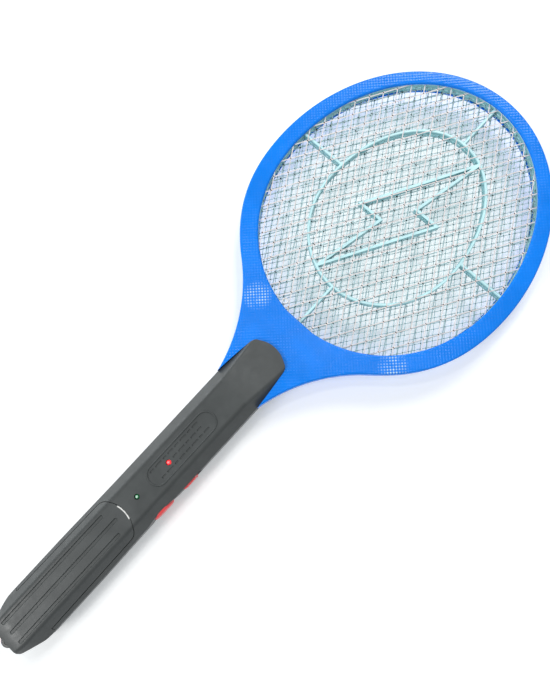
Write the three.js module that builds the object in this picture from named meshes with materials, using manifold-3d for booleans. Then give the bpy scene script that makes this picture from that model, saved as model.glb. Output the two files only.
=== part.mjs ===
// Electric fly swatter: a handheld racket with a two-cell handle, a high-voltage board and three
// stacked wire grilles held in a two-part head ring.
// Millimetres. X runs from the hanging-loop end of the handle to the tip of the head, Y across,
// Z up out of the front face. The handle's housing splits on z = MID_Z, the head's on z = HEAD_MID_Z.
import * as THREE from 'three';
import { mergeVertices } from 'three/addons/utils/BufferGeometryUtils.js';
import Module from 'manifold-3d';

const wasm = await Module();
wasm.setup();

// Driving dimensions
const HANDLE_THICKNESS = 25;
const HEAD_THICKNESS = 11.6;
const HEAD_MID_Z = 15.7;
const HEAD_TIP_X = 460;
const LOOP_REACH = 9.5;
const WALL = 2.2;
const HEAD_WALL = 2;
const LIP = 1.8;
const GAP = 0.3;
const MID_Z = HANDLE_THICKNESS / 2;
const HALF_GAP = 0.1;
const HEAD_BOTTOM = HEAD_MID_Z - HEAD_THICKNESS / 2;
const HEAD_TOP = HEAD_MID_Z + HEAD_THICKNESS / 2;
const ORIGIN_X = (HEAD_TIP_X - LOOP_REACH) / 2;
const HIGH = 60;
const OUTLINE_POINTS = 48;

// Handle plan: butt, grip, neck end and tongue
const BUTT_HALF = 10;
const GRIP_HALF = 18;
const GRIP_START_X = 20;
const GRIP_END_X = 62;
const WAIST_X = 110;
const WAIST_HALF = 17.3;
const NECK_X = 204.3;
const NECK_HALF = 17.1;
const TONGUE_X = 240;
const TONGUE_HALF = 13.2;

// Battery cover plan
const COVER_CAP_X = 23.5;
const COVER_CAP_SEAM = 15.6;
const COVER_ARCH_X = 94;
const COVER_ARCH_HALF = 14.8;
const COVER_TOP_X = 105.2;
const GROOVE_WIDTH = 2.6;
const GROOVE_DEPTH = 0.7;

// Head plan: widest station, half width, and reach towards the tip and the handle
const HEAD_WIDE_X = 349;
const HEAD_HALF = 93.2;
const OPENING = { x: 351, tip: 101.1, butt: 89.1, half: 82.2, blunt: 2.12 };
const OVAL = { x: 350, tip: 70.8, butt: 56.2, half: 50.4, blunt: 2 };
const STUB_X = 178;
const STUB_HALF = 9.2;

// Grille and spacer stack
const GRILLE_THICKNESS = 0.6;
const SPACER_HEIGHT = 2.6;
const STACK_GAP = 0.1;
const GRILLE_MARGIN = 3.5;
const RIB = 1.8;
const MESH_LONG = 41;
const MESH_SHORT = 25.2;
const STRAND = 1.8;

// Controls
const BUTTON_X = 118.8;
const BUTTON_LENGTH = 16.4;
const BUTTON_HEIGHT = 13;
const SLIDER_X = 142.5;
const SLIDER_HALF = 4.9;
const SLIDER_TRAVEL = 4;
const GREEN_LED_X = 116.4;
const RED_LED_X = 144.3;
const LED_HOLE = 1.8;

// Power
const CELL_RADIUS = 7.1;
const CELL_LENGTH = 50.5;
const CELL_START_X = 8;
const CELL_Z = 12;
const BAY_WALL_X = 110.1;

// Board
const BOARD = { x0: 115, x1: 176, y0: -10.5, y1: 8.6, z0: 10.5, z1: 12.1 };
const ON_BOARD = BOARD.z1 + GAP;

// Fasteners: back-entry screws
const HANDLE_SCREWS = [[118, 12.6], [172, 12.6], [196, 0], [226, 0]];
const NECK_HEAD_SCREWS = [[250, 24], [250, -24]];
const RING_SCREW_ANGLES = [58, 94, 128];

const material = (color, roughness, metalness = 0) =>
  new THREE.MeshStandardMaterial({ color, roughness, metalness });
const BLACK = material(0x52575a, 0.55);
const BLUE = material(0x1d7ff0, 0.4);
const CYAN = material(0xb8eef5, 0.4);
const RED = material(0xd8404a, 0.4);
const GRILLE = material(0xc9cdd0, 0.4, 0.9);
const STEEL = material(0xb9bcc0, 0.35, 1);
const BOARD_GREEN = material(0x2f7a4a, 0.5);
const DARK = material(0x202224, 0.5);
const COPPER = material(0xb87333, 0.35, 1);
const TAN = material(0xc9a26b, 0.6);
const BROWN = material(0x8a3b1e, 0.5);
const GREEN_LENS = material(0x39c070, 0.2);
const RED_LENS = material(0xe04848, 0.2);
const WIRE_RED = material(0xb02020, 0.5);
const WIRE_BLACK = material(0x181818, 0.5);
const WIRE_WHITE = material(0xe6e6e0, 0.5);

const root = new THREE.Group();
root.position.x = -ORIGIN_X;

// ---- solids and meshes -------------------------------------------------------------------------

function signedVolume(position, index) {
  const a = new THREE.Vector3();
  const b = new THREE.Vector3();
  const c = new THREE.Vector3();
  let sum = 0;
  for (let i = 0; i < index.count; i += 3) {
    a.fromBufferAttribute(position, index.getX(i));
    b.fromBufferAttribute(position, index.getX(i + 1));
    c.fromBufferAttribute(position, index.getX(i + 2));
    sum += a.dot(b.cross(c));
  }
  return sum;
}

function solid(geometry) {
  const bare = geometry.clone();
  bare.deleteAttribute('normal');
  bare.deleteAttribute('uv');
  const merged = mergeVertices(bare, 1e-4);
  const triVerts = new Uint32Array(merged.index.array);
  if (signedVolume(merged.attributes.position, merged.index) < 0) triVerts.reverse();
  const vertProperties = new Float32Array(merged.attributes.position.array);
  return new wasm.Manifold(new wasm.Mesh({ numProp: 3, vertProperties, triVerts }));
}

function add(name, body, look) {
  const { vertProperties, triVerts } = body.getMesh();
  const geometry = new THREE.BufferGeometry();
  geometry.setAttribute('position', new THREE.BufferAttribute(new Float32Array(vertProperties), 3));
  geometry.setIndex(new THREE.BufferAttribute(new Uint32Array(triVerts), 1));
  geometry.computeVertexNormals();
  const mesh = new THREE.Mesh(geometry, look);
  mesh.name = name;
  root.add(mesh);
}

const box = (x0, x1, y0, y1, z0, z1) => solid(
  new THREE.BoxGeometry(x1 - x0, y1 - y0, z1 - z0)
    .translate((x0 + x1) / 2, (y0 + y1) / 2, (z0 + z1) / 2));

// A cylinder standing on z0, up to z1
const post = (x, y, radius, z0, z1, sides = 12) => solid(
  new THREE.CylinderGeometry(radius, radius, z1 - z0, sides)
    .rotateX(Math.PI / 2).translate(x, y, (z0 + z1) / 2));

// A flat outline in XY raised from z0 to z1
function prism(points, z0, z1, holes = []) {
  const shape = new THREE.Shape(points);
  shape.holes = holes.map((hole) => new THREE.Path(hole));
  const geometry = new THREE.ExtrudeGeometry(shape, { depth: z1 - z0, bevelEnabled: false });
  return solid(geometry.translate(0, 0, z0));
}

// An outline in XZ pushed from y0 to y1
function prismY(points, y0, y1) {
  const geometry = new THREE.ExtrudeGeometry(new THREE.Shape(points),
    { depth: y1 - y0, bevelEnabled: false });
  return solid(geometry.rotateX(Math.PI / 2).translate(0, y1, 0));
}

// Skins convex rings of equal count into one closed solid
function loft(rings) {
  const count = rings[0].length;
  const positions = rings.flat().flatMap((p) => [p.x, p.y, p.z]);
  const index = [];
  for (let k = 0; k + 1 < rings.length; k++) {
    for (let i = 0; i < count; i++) {
      const a = k * count + i;
      const b = k * count + (i + 1) % count;
      index.push(a, b, b + count, a, b + count, a + count);
    }
  }
  const last = (rings.length - 1) * count;
  for (let i = 1; i + 1 < count; i++) {
    index.push(0, i + 1, i);
    index.push(last, last + i, last + i + 1);
  }
  const geometry = new THREE.BufferGeometry();
  geometry.setAttribute('position', new THREE.Float32BufferAttribute(positions, 3));
  geometry.setIndex(index);
  return solid(geometry);
}

// A body of revolution about X, from [x, radius] pairs
function turned(profile, y, z, sides = 16) {
  const points = profile.map(([x, r]) => new THREE.Vector2(r, x));
  return solid(new THREE.LatheGeometry(points, sides).rotateZ(-Math.PI / 2).translate(0, y, z));
}

// A body of revolution about Z, from [z, radius] pairs
function turnedUp(profile, x, y, sides = 12) {
  const points = profile.map(([z, r]) => new THREE.Vector2(r, z));
  return solid(new THREE.LatheGeometry(points, sides).rotateX(Math.PI / 2).translate(x, y, 0));
}

function tube(curve, radius, steps, sides = 6) {
  const ring = [];
  for (let i = 0; i < sides; i++) {
    const t = (i / sides) * 2 * Math.PI;
    ring.push(new THREE.Vector2(radius * Math.cos(t), radius * Math.sin(t)));
  }
  return solid(new THREE.ExtrudeGeometry(new THREE.Shape(ring),
    { steps, bevelEnabled: false, extrudePath: curve }));
}

const union = (parts) => parts.reduce((a, b) => a.add(b));
const cut = (body, tools) => tools.reduce((a, b) => a.subtract(b), body);

// ---- outlines ----------------------------------------------------------------------------------

// Two half ovals of different reach joined at their widest line; blunt > 2 squares the handle end
function egg({ x, tip, butt, half, blunt }, count) {
  const points = [];
  for (let i = 0; i < count; i++) {
    const t = (i / count) * 2 * Math.PI;
    const c = Math.cos(t);
    const s = Math.sin(t);
    const power = c < 0 ? 2 / blunt : 1;
    const reach = c < 0 ? -butt : tip;
    points.push(new THREE.Vector2(
      x + reach * Math.abs(c) ** power, half * Math.sign(s) * Math.abs(s) ** power));
  }
  return points;
}

// Moves a counter-clockwise outline outwards by d, with mitred corners
function offset(points, d) {
  const count = points.length;
  const normal = (a, b) => new THREE.Vector2(b.y - a.y, a.x - b.x).normalize();
  return points.map((p, i) => {
    const n1 = normal(points[(i + count - 1) % count], p);
    const n2 = normal(p, points[(i + 1) % count]);
    return p.clone().addScaledVector(n1.clone().add(n2), d / (1 + n1.dot(n2)));
  });
}

// Completes a -Y half outline, drawn towards +X, with its mirror image
const mirrored = (half) => half.concat(
  half.filter((p) => p.y < 0).map((p) => new THREE.Vector2(p.x, -p.y)).reverse());

function handlePlan() {
  const path = new THREE.Path();
  path.moveTo(0, -BUTT_HALF);
  path.quadraticCurveTo(0.4, -12.4, 3.4, -13.3);
  path.lineTo(13.5, -GRIP_HALF + 1);
  path.quadraticCurveTo(16, -GRIP_HALF, GRIP_START_X, -GRIP_HALF);
  path.lineTo(GRIP_END_X, -GRIP_HALF);
  path.lineTo(WAIST_X, -WAIST_HALF);
  path.lineTo(NECK_X, -NECK_HALF);
  path.lineTo(TONGUE_X - 5.6, -TONGUE_HALF - 0.3);
  path.quadraticCurveTo(TONGUE_X - 3.2, -TONGUE_HALF, TONGUE_X - 2.6, -TONGUE_HALF + 2.4);
  path.quadraticCurveTo(TONGUE_X, -5, TONGUE_X, 0);
  return mirrored(path.getPoints(6));
}

function coverPlan(grow) {
  const reach = COVER_TOP_X - COVER_ARCH_X;
  const half = [
    [-HIGH, -HIGH], [COVER_CAP_X, -HIGH], [COVER_CAP_X, -COVER_CAP_SEAM],
  ].map(([x, y]) => new THREE.Vector2(x, y));
  const steps = 8;
  for (let i = 0; i <= steps; i++) {
    const t = (i / steps) * Math.PI / 2;
    const y = i < steps ? -COVER_ARCH_HALF * Math.cos(t) : 0;
    half.push(new THREE.Vector2(COVER_ARCH_X + reach * Math.sin(t), y));
  }
  return offset(mirrored(half), grow);
}

function headPlan() {
  const path = new THREE.Path();
  path.moveTo(STUB_X, -STUB_HALF);
  path.lineTo(NECK_X + GAP, -STUB_HALF);
  path.lineTo(NECK_X + GAP, -NECK_HALF);
  path.bezierCurveTo(230, -22.5, 252, -36.1, 268, -55.5);
  path.bezierCurveTo(286, -77.3, 309, -HEAD_HALF, HEAD_WIDE_X, -HEAD_HALF);
  const half = path.getPoints(6);
  const steps = 12;
  for (let i = 1; i <= steps; i++) {
    const t = (i / steps) * Math.PI / 2;
    half.push(new THREE.Vector2(
      HEAD_WIDE_X + (HEAD_TIP_X - HEAD_WIDE_X) * Math.sin(t), i < steps ? -HEAD_HALF * Math.cos(t) : 0));
  }
  return mirrored(half);
}

const OPENING_POINTS = egg(OPENING, OUTLINE_POINTS);
const HEAD_POINTS = headPlan();

// ---- handle ------------------------------------------------------------------------------------

// Octagonal section at x: half width, half facet, half height and half shoulder height
function handleSection(x, width, facet, height, shoulder) {
  const corners = [
    [width, -shoulder], [width, shoulder], [facet, height], [-facet, height],
    [-width, shoulder], [-width, -shoulder], [-facet, -height], [facet, -height],
  ];
  return corners.map(([y, z]) => new THREE.Vector3(x, y, MID_Z + z));
}

function handleOuter() {
  const h = HANDLE_THICKNESS / 2;
  const w = GRIP_HALF;
  const body = loft([
    handleSection(0, w, 8.6, h - 2.4, 3),
    handleSection(12, w, 10.8, h, 4.6),
    handleSection(GRIP_END_X, w, 10.8, h, 4.6),
    handleSection(NECK_X - 18, w - 1, 10.8, h, 4.6),
    handleSection(TONGUE_X + 1, w - 4.6, 12.4, h - 1.5, 8.4),
  ]);
  return body.intersect(prism(handlePlan(), -1, HIGH));
}

function handleInner() {
  const h = HANDLE_THICKNESS / 2 - WALL;
  const w = GRIP_HALF - WALL;
  const body = loft([
    handleSection(WALL, w, 7.9, h - 2.2, 2.6),
    handleSection(12, w, 9.9, h, 3.7),
    handleSection(GRIP_END_X, w, 9.9, h, 3.7),
    handleSection(NECK_X + 1, w - 1.1, 9.9, h, 3.7),
  ]);
  return body.intersect(prism(offset(handlePlan(), -WALL), -1, HIGH));
}

// The room that the head's neck takes between the two tongues
const neckSlot = () => box(NECK_X, HIGH * 6, -HIGH, HIGH, HEAD_BOTTOM - 0.2, HEAD_TOP + 0.2);

// Shallow finger scallop around the push button, and the two control openings
function sideOpenings() {
  const scallopRadius = 72;
  const outer = WAIST_HALF - 1;
  return [
    post(BUTTON_X, -outer - scallopRadius, scallopRadius, -1, HIGH, 120),
    prismY(roundedSlot(BUTTON_X, MID_Z, BUTTON_LENGTH + 0.6, BUTTON_HEIGHT + 0.6), -HIGH, -12),
    box(SLIDER_X - 5.9, SLIDER_X + 5.9 + SLIDER_TRAVEL, -HIGH, -12,
      MID_Z - SLIDER_HALF - 0.4, MID_Z + SLIDER_HALF + 0.4),
  ];
}

// A slot with round ends, length along the first axis
function roundedSlot(cx, cy, length, width, steps = 6) {
  const r = width / 2;
  const points = [];
  for (const side of [1, -1]) {
    for (let i = 0; i <= steps; i++) {
      const t = (i / steps - 0.5) * Math.PI + (side < 0 ? Math.PI : 0);
      points.push(new THREE.Vector2(
        cx + side * (length / 2 - r) + r * Math.cos(t), cy + r * Math.sin(t)));
    }
  }
  return points;
}

const RECESS_RADIUS = 2.5;
const SHANK_HOLE = 1.5;
const HEAD_SEAT_Z = 8;

function handleFrontShell(outer, inner) {
  const half = box(-1, HIGH * 6, -HIGH, HIGH, MID_Z + HALF_GAP, HIGH);
  let body = cut(outer.intersect(half), [inner, neckSlot(), prism(coverPlan(GAP), 0, HIGH)]);
  const bosses = HANDLE_SCREWS.map(([x, y]) => post(x, y, 2.8, MID_Z + HALF_GAP, MID_Z + 10.6));
  const wall = box(BAY_WALL_X, BAY_WALL_X + 1.7, -9.4, 9.4, MID_Z + HALF_GAP, HIGH).intersect(outer);
  body = union([body, union(bosses).intersect(outer), wall]);
  const holes = HANDLE_SCREWS.map(([x, y]) => post(x, y, SHANK_HOLE, 0, 20.5));
  const leds = [GREEN_LED_X, RED_LED_X].map((x) => post(x, 0, LED_HOLE, 18, HIGH));
  return cut(body, [...holes, ...leds, ...sideOpenings()]);
}

function hangingLoop() {
  const z0 = MID_Z - 3.2;
  const z1 = MID_Z - 0.2;
  const outer = roundedSlot(-LOOP_REACH + 7, 0, 14, 9.2, 8);
  const hole = roundedSlot(-LOOP_REACH + 5.2, 0, 6.6, 5.4, 8);
  return [prism(outer, z0, z1), prism(hole, 0, z1 + 1)];
}

function handleBackShell(outer, inner) {
  const half = box(-1, HIGH * 6, -HIGH, HIGH, -1, MID_Z - HALF_GAP);
  const shell = cut(outer.intersect(half), [inner, neckSlot()]);
  const bosses = HANDLE_SCREWS.map(([x, y]) => post(x, y, 3.4, 1.6, MID_Z - HALF_GAP));
  const cells = turned([[0, 0], [0, CELL_RADIUS + GAP], [BAY_WALL_X - 0.5, CELL_RADIUS + GAP],
    [BAY_WALL_X - 0.5, 0]], 0, CELL_Z, 24);
  const ribs = [32, 84].map((x) => box(x, x + 1.6, -9.4, 9.4, 1, 9));
  const walls = [box(BAY_WALL_X, BAY_WALL_X + 1.7, -9.4, 9.4, 1, MID_Z - HALF_GAP)];
  const inside = outer.intersect(union([...ribs, ...walls]));
  const [loopBody, loopHole] = hangingLoop();
  const loop = loopBody.subtract(box(WALL, HIGH, -HIGH, HIGH, 0, HIGH));
  const body = union([shell, inside.subtract(cells), union(bosses).intersect(outer), loop]);
  const recesses = HANDLE_SCREWS.map(([x, y]) => post(x, y, RECESS_RADIUS, -1, HEAD_SEAT_Z));
  const holes = HANDLE_SCREWS.map(([x, y]) => post(x, y, SHANK_HOLE, -1, HIGH));
  return cut(body, [...recesses, ...holes, ...sideOpenings(), loopHole]);
}

function batteryCover(outer, inner) {
  const upper = box(-1, HIGH * 6, -HIGH, HIGH, MID_Z + HALF_GAP, HIGH);
  const shell = outer.intersect(upper).subtract(inner).intersect(prism(coverPlan(0), 0, HIGH));
  const catchTongue = box(97, 103.6, -5, 5, 20.6, 23.4).add(box(97, 108.5, -5, 5, 20.6, 22.4));
  const grooves = [[7, 99, 0], [7, 94, 7.6], [7, 94, -7.6]].map(([x0, x1, y]) =>
    prism(roundedSlot((x0 + x1) / 2, y, x1 - x0, GROOVE_WIDTH),
      HANDLE_THICKNESS - GROOVE_DEPTH, HIGH));
  return cut(shell.add(catchTongue), grooves);
}

const outerHandle = handleOuter();
const innerHandle = handleInner();
add('handle_front_shell', handleFrontShell(outerHandle, innerHandle), BLACK);
add('handle_back_shell', handleBackShell(outerHandle, innerHandle), BLACK);
add('battery_cover', batteryCover(outerHandle, innerHandle), BLACK);

HANDLE_SCREWS.forEach(([x, y], i) => add(`handle_screw_${i + 1}`, turnedUp([
  [HEAD_SEAT_Z + 0.3 - 1.8, 0], [HEAD_SEAT_Z + 0.3 - 1.8, 2.2], [HEAD_SEAT_Z - 0.3, 2.2],
  [HEAD_SEAT_Z - 0.3, 1.2], [19.2, 1.2], [20, 0],
], x, y, 10), STEEL));

// ---- head --------------------------------------------------------------------------------------

// Screw stations in the channel between the grilles and the outer wall
function ringScrews() {
  const track = offset(egg(OPENING, 360), 6.4);
  const stations = RING_SCREW_ANGLES.flatMap((a) => [track[a], track[360 - a]]);
  return NECK_HEAD_SCREWS.concat(stations.map((p) => [p.x, p.y]));
}
const HEAD_SCREWS = ringScrews();
const HEAD_SCREW_HEAD = 1.2;
const HEAD_SCREW_TIP = 3.6;

// One half of the head ring; `front` is the half that faces up
function headFrame(front) {
  const sign = front ? 1 : -1;
  const span = (a, b) => [Math.min(HEAD_MID_Z + sign * a, HEAD_MID_Z + sign * b),
    Math.max(HEAD_MID_Z + sign * a, HEAD_MID_Z + sign * b)];
  const half = HEAD_THICKNESS / 2;
  const plate = prism(HEAD_POINTS, ...span(HALF_GAP, half));
  const cavity = prism(offset(HEAD_POINTS, -HEAD_WALL), ...span(-1, half - LIP));
  const mouth = box(STUB_X - 5, STUB_X + 5, -STUB_HALF + HEAD_WALL, STUB_HALF - HEAD_WALL,
    ...span(-1, half - LIP));
  const rings = [[OPENING_POINTS, half - 1.1], [offset(OPENING_POINTS, 1.2), half + 0.1]]
    .map(([points, z]) => points.map((p) => new THREE.Vector3(p.x, p.y, HEAD_MID_Z + sign * z)));
  const bosses = HEAD_SCREWS.map(([x, y]) => post(x, y, 2.3, ...span(HALF_GAP, half - 0.5)));
  const shell = cut(plate, [cavity, mouth, prism(OPENING_POINTS, -1, HIGH), loft(rings)]);
  const holes = HEAD_SCREWS.map(([x, y]) => post(x, y, 1.2, ...span(-1, front ? HEAD_SCREW_TIP + 0.3 : HIGH), 8));
  const sinks = front ? [] : HEAD_SCREWS.map(([x, y]) => post(x, y, 2.3, -1, HEAD_BOTTOM + 1.3));
  const passes = HANDLE_SCREWS.slice(2).map(([x, y]) => post(x, y, 3.8, -1, HIGH));
  return cut(union([shell, ...bosses]), [...holes, ...sinks, ...passes]);
}

add('head_front_frame', headFrame(true), BLUE);
add('head_back_frame', headFrame(false), BLUE);

HEAD_SCREWS.forEach(([x, y], i) => add(`head_screw_${i + 1}`, turnedUp([
  [HEAD_BOTTOM, 0], [HEAD_BOTTOM, 2], [HEAD_BOTTOM + HEAD_SCREW_HEAD, 0.9],
  [HEAD_MID_Z + HEAD_SCREW_TIP - 0.8, 0.9], [HEAD_MID_Z + HEAD_SCREW_TIP, 0],
], x, y, 8), STEEL));

// Diamond-pattern sheet: whole diamonds inside the rim are open
function grille(z0, shiftX) {
  const rim = offset(OPENING_POINTS, GRILLE_MARGIN);
  const limit = offset(OPENING_POINTS, 0.5);
  const inside = (x, y) => limit.every((p, i) => {
    const q = limit[(i + 1) % limit.length];
    return (q.x - p.x) * (y - p.y) - (q.y - p.y) * (x - p.x) > 0;
  });
  const slope = Math.atan2(MESH_SHORT, MESH_LONG);
  const longHalf = MESH_LONG / 2 - STRAND / 2 / Math.sin(slope);
  const shortHalf = MESH_SHORT / 2 - STRAND / 2 / Math.cos(slope);
  const holes = [];
  for (let row = -12; row <= 12; row++) {
    for (let column = -8; column <= 8; column++) {
      const x = OPENING.x + shiftX + (column + (row % 2 ? 0.5 : 0)) * MESH_LONG;
      const y = row * MESH_SHORT / 2;
      const corners = [[longHalf, 0], [0, shortHalf], [-longHalf, 0], [0, -shortHalf]]
        .map(([dx, dy]) => new THREE.Vector2(x + dx, y + dy));
      if (corners.every((p) => inside(p.x, p.y))) holes.push(corners);
    }
  }
  return prism(rim, z0, z0 + GRILLE_THICKNESS, holes);
}

const MIDDLE_GRILLE_Z = HEAD_MID_Z - GRILLE_THICKNESS / 2;
const FRONT_SPACER_Z = HEAD_MID_Z + GRILLE_THICKNESS / 2 + STACK_GAP;
const BACK_SPACER_Z = MIDDLE_GRILLE_Z - STACK_GAP - SPACER_HEIGHT;
const FRONT_GRILLE_Z = FRONT_SPACER_Z + SPACER_HEIGHT + STACK_GAP;
const BACK_GRILLE_Z = BACK_SPACER_Z - STACK_GAP - GRILLE_THICKNESS;
add('front_grille', grille(FRONT_GRILLE_Z, 0), GRILLE);
add('middle_grille', grille(MIDDLE_GRILLE_Z, MESH_LONG / 4), GRILLE);
add('back_grille', grille(BACK_GRILLE_Z, 0), GRILLE);

// A straight rib between two plan points
function rib(x0, y0, x1, y1, z0, z1) {
  const a = new THREE.Vector2(x0, y0);
  const b = new THREE.Vector2(x1, y1);
  const along = b.clone().sub(a).normalize().multiplyScalar(RIB / 2);
  const side = new THREE.Vector2(-along.y, along.x);
  const start = a.sub(along);
  const end = b.add(along);
  return prism([start.clone().sub(side), end.clone().sub(side), end.clone().add(side),
    start.clone().add(side)], z0, z1);
}

// Insulating spacer: outer ring, four spokes, an oval ring and a lightning-bolt outline
const BOLT_X = 357;
const BOLT = [[59.2, -16.7], [-10.1, 23.3], [-10, 6.3], [-59.2, 16.7], [10.1, -23.3], [10, -6.3]];
const SIDE_SPOKE_X = 358.5;

function spacer(z0) {
  const z1 = z0 + SPACER_HEIGHT;
  const band = (outline, inner, outer) =>
    prism(offset(outline, outer), z0, z1).subtract(prism(offset(outline, inner), -1, HIGH));
  const oval = egg(OVAL, OUTLINE_POINTS);
  const ribs = [
    [OVAL.x + OVAL.tip, 0, OPENING.x + OPENING.tip, 0],
    [OVAL.x - OVAL.butt, 0, OPENING.x - OPENING.butt, 0],
    [SIDE_SPOKE_X, OVAL.half - 0.3, SIDE_SPOKE_X, OPENING.half],
    [SIDE_SPOKE_X, -OVAL.half + 0.3, SIDE_SPOKE_X, -OPENING.half],
    ...BOLT.map(([x, y], i) => {
      const [nx, ny] = BOLT[(i + 1) % BOLT.length];
      return [BOLT_X + x, y, BOLT_X + nx, ny];
    }),
  ];
  return union([band(OPENING_POINTS, 0.4, 2.2), band(oval, -RIB / 2, RIB / 2),
    ...ribs.map((r) => rib(...r, z0, z1))]);
}

add('front_spacer', spacer(FRONT_SPACER_Z), CYAN);
add('back_spacer', spacer(BACK_SPACER_Z), CYAN);

// Lead terminal crimped on the front grille beside the opening's edge
const EYELET = { x: 266.5, y: 15.8 };
const eyeletZ = FRONT_GRILLE_Z + GRILLE_THICKNESS + STACK_GAP;
add('grille_eyelet', turnedUp([[eyeletZ, 1.2], [eyeletZ, 2.1], [eyeletZ + 0.7, 2.1],
  [eyeletZ + 0.7, 1.2], [eyeletZ, 1.2]], EYELET.x, EYELET.y), STEEL);

// ---- power -------------------------------------------------------------------------------------

function cell(x) {
  const body = x + CELL_LENGTH - 1.4;
  return turned([[x, 0], [x, 5], [x + 0.4, CELL_RADIUS], [body, CELL_RADIUS],
    [body, 2.8], [x + CELL_LENGTH, 2.6], [x + CELL_LENGTH, 0]], 0, CELL_Z);
}
const CELL_STEP = CELL_LENGTH + 0.2;
[0, 1].forEach((i) => add(`battery_cell_${i + 1}`, cell(CELL_START_X + i * CELL_STEP), COPPER));

class ConeHelix extends THREE.Curve {
  getPoint(t) {
    const turns = 3.5;
    const radius = 5 - 2.2 * t;
    const angle = t * turns * 2 * Math.PI;
    return new THREE.Vector3(4 + 3.3 * t, radius * Math.cos(angle),
      CELL_Z + radius * Math.sin(angle));
  }
}
add('battery_spring', tube(new ConeHelix(), 0.4, 42, 5), STEEL);
add('negative_contact', box(2.6, 3, -6, 7, CELL_Z - 6, CELL_Z + 6), STEEL);
const lastCellEnd = CELL_START_X + CELL_STEP + CELL_LENGTH;
add('positive_contact', box(lastCellEnd + 0.15, lastCellEnd + 0.55, -6, 6, 6, 18), STEEL);

// ---- board and its parts -----------------------------------------------------------------------

add('circuit_board', box(BOARD.x0, BOARD.x1, BOARD.y0, BOARD.y1, BOARD.z0, BOARD.z1), BOARD_GREEN);

// Ferrite core around a wound bobbin: the centre leg passes through the winding
const CORE = { x: 162.3, y: 0, top: ON_BOARD + 9.4 };
const coreWindows = [-1, 1].map((side) => box(CORE.x + side * 3.5 - 1.5, CORE.x + side * 3.5 + 1.5,
  -HIGH, HIGH, ON_BOARD + 2, CORE.top - 2));
add('transformer_core', cut(box(CORE.x - 7, CORE.x + 7, CORE.y - 2.6, CORE.y + 2.6,
  ON_BOARD, CORE.top), coreWindows), DARK);
add('transformer_winding', box(CORE.x - 4.7, CORE.x + 4.7, CORE.y - 5, CORE.y + 5,
  ON_BOARD + 2.3, CORE.top - 2.3).subtract(box(CORE.x - 2.3, CORE.x + 2.3, CORE.y - 2.9,
  CORE.y + 2.9, -HIGH, HIGH)), COPPER);

const chip = (name, x, y, dx, dy, height, look) => add(name,
  box(x - dx / 2, x + dx / 2, y - dy / 2, y + dy / 2, ON_BOARD, ON_BOARD + height), look);
chip('hv_capacitor', 172.4, 3.5, 5, 9, 8, BROWN);
chip('doubler_capacitor_1', 153.2, 5, 3.4, 6, 6.5, BROWN);
chip('doubler_capacitor_2', 153.2, -6, 3.4, 6, 6.5, BROWN);

function transistor(x, y) {
  const can = post(x, y, 2.3, ON_BOARD + 1.5, ON_BOARD + 6.3, 20);
  const legs = [-1.3, 0, 1.3].map((dx) =>
    box(x + dx - 0.2, x + dx + 0.2, y - 0.2, y + 0.2, ON_BOARD, ON_BOARD + 2));
  return union([can.subtract(box(x - 3, x + 3, y + 1.2, y + 5, 0, HIGH)), ...legs]);
}
add('transistor', transistor(136, 4.5), DARK);

// Axial part lying along X on its two straight leads
function axial(x, y, length, radius) {
  const z = ON_BOARD + radius;
  return turned([[x - length, 0], [x - length, 0.3], [x - length / 2, 0.3],
    [x - length / 2, radius], [x + length / 2, radius], [x + length / 2, 0.3],
    [x + length, 0.3], [x + length, 0]], y, z, 12);
}
[[126, 0.6], [126, 4], [126, 7.2]].forEach(([x, y], i) =>
  add(`resistor_${i + 1}`, axial(x, y, 4.6, 0.9), TAN));
[[161, -7.2], [171.5, -3], [171.5, -7.2]].forEach(([x, y], i) =>
  add(`diode_${i + 1}`, axial(x, y, 3.8, 1.1), DARK));

// 3 mm lamp on two legs, its dome just proud of the front face
function lamp(x) {
  const flange = 19.3;
  const lens = turnedUp([[flange, 0], [flange, 1.7], [flange + 0.8, 1.7], [flange + 0.8, 1.45],
    [24.2, 1.45], [25, 0.9], [25.3, 0]], x, 0);
  const legs = [-0.8, 0.8].map((dy) => box(x - 0.2, x + 0.2, dy - 0.2, dy + 0.2,
    ON_BOARD, flange + 0.3));
  return union([lens, ...legs]);
}
add('green_led', lamp(GREEN_LED_X), GREEN_LENS);
add('red_led', lamp(RED_LED_X), RED_LENS);

// ---- controls ----------------------------------------------------------------------------------

// Push button: cap through the side wall, inner flange and a stem towards the tact switch
const BUTTON_FACE_Y = -17.6;
const BUTTON_STEM_Y = -11.2;
function pushButton() {
  const slot = (grow, y0, y1) => prismY(
    roundedSlot(BUTTON_X, MID_Z, BUTTON_LENGTH + grow, BUTTON_HEIGHT + grow), y0, y1);
  const cap = slot(0, BUTTON_FACE_Y, -12.9);
  const dome = slot(-3.4, BUTTON_FACE_Y - 0.5, BUTTON_FACE_Y + 1);
  const flange = prismY(roundedSlot(BUTTON_X, MID_Z, 19.8, 11.2), -13.9, -12.9);
  const stem = box(BUTTON_X - 2, BUTTON_X + 2, -13.4, BUTTON_STEM_Y, MID_Z, MID_Z + 4);
  return union([cap, dome, flange, stem]);
}
add('push_button', pushButton(), RED);

const TACT_Z = MID_Z + 2.1;
add('tact_switch_body', box(BUTTON_X - 3, BUTTON_X + 3, -8.6, -5, ON_BOARD, ON_BOARD + 5), DARK);
add('tact_switch_plunger', solid(new THREE.CylinderGeometry(1.5, 1.5, 0.7, 14)
  .translate(BUTTON_X, -9.65, TACT_Z)), STEEL);

// Slide switch: body on the board, actuator, and the ribbed outer knob that carries it
add('slide_switch_body', box(SLIDER_X - 5, SLIDER_X + 7, -9.4, -5.4, ON_BOARD, ON_BOARD + 4.4), STEEL);
add('slide_switch_actuator', box(SLIDER_X - 1, SLIDER_X + 1, -12.4, -9.7, MID_Z + 0.6,
  MID_Z + 3.4), DARK);

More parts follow.
